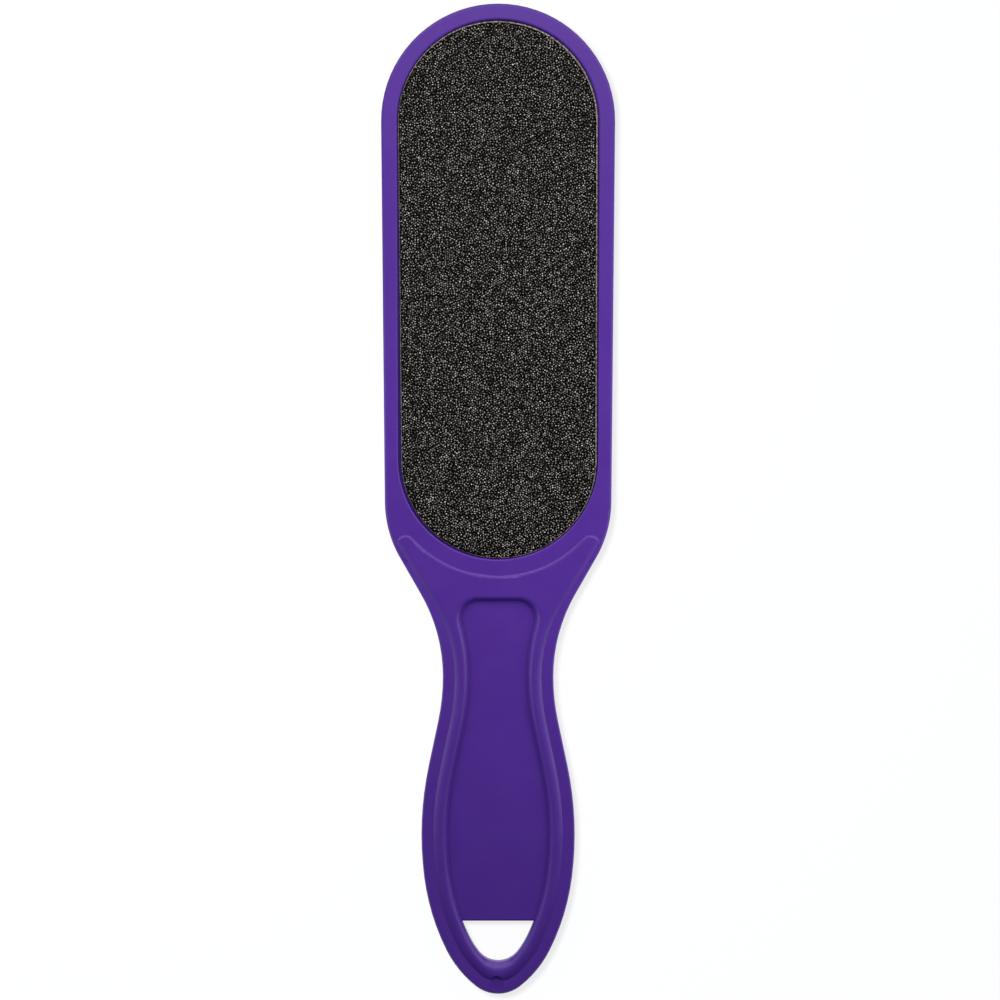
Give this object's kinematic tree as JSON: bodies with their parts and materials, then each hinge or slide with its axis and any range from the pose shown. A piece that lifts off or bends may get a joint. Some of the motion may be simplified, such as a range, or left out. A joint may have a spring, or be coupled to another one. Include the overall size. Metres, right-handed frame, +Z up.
{
  "type": "foot file",
  "caption": "Two-sided paddle foot file with a moulded ring handle, a hanging hole and abrasive pads set in its head.",
  "frame": {"origin": "middle of the outline seen from above, on the surface that the file lies on", "axes": "+Y along the file towards the head, +X across it, +Z up with the coarse pad on top"},
  "size_m": [0.059, 0.25, 0.008],
  "materials": {
    "moulded_plastic": "satin purple, moulded",
    "adhesive_film": "thin acrylic adhesive film",
    "backing_sheet": "pale coated paper, cut edge",
    "coarse_grit": "coarse dark mineral grains in resin",
    "fine_grit": "fine dark mineral grains in resin"
  },
  "bodies": {
    "root": {"body": "moulded_plastic", "front_adhesive": "adhesive_film", "front_backing": "backing_sheet", "front_grit": "coarse_grit", "back_adhesive": "adhesive_film", "back_backing": "backing_sheet", "back_grit": "fine_grit"}
  },
  "joints": []
}
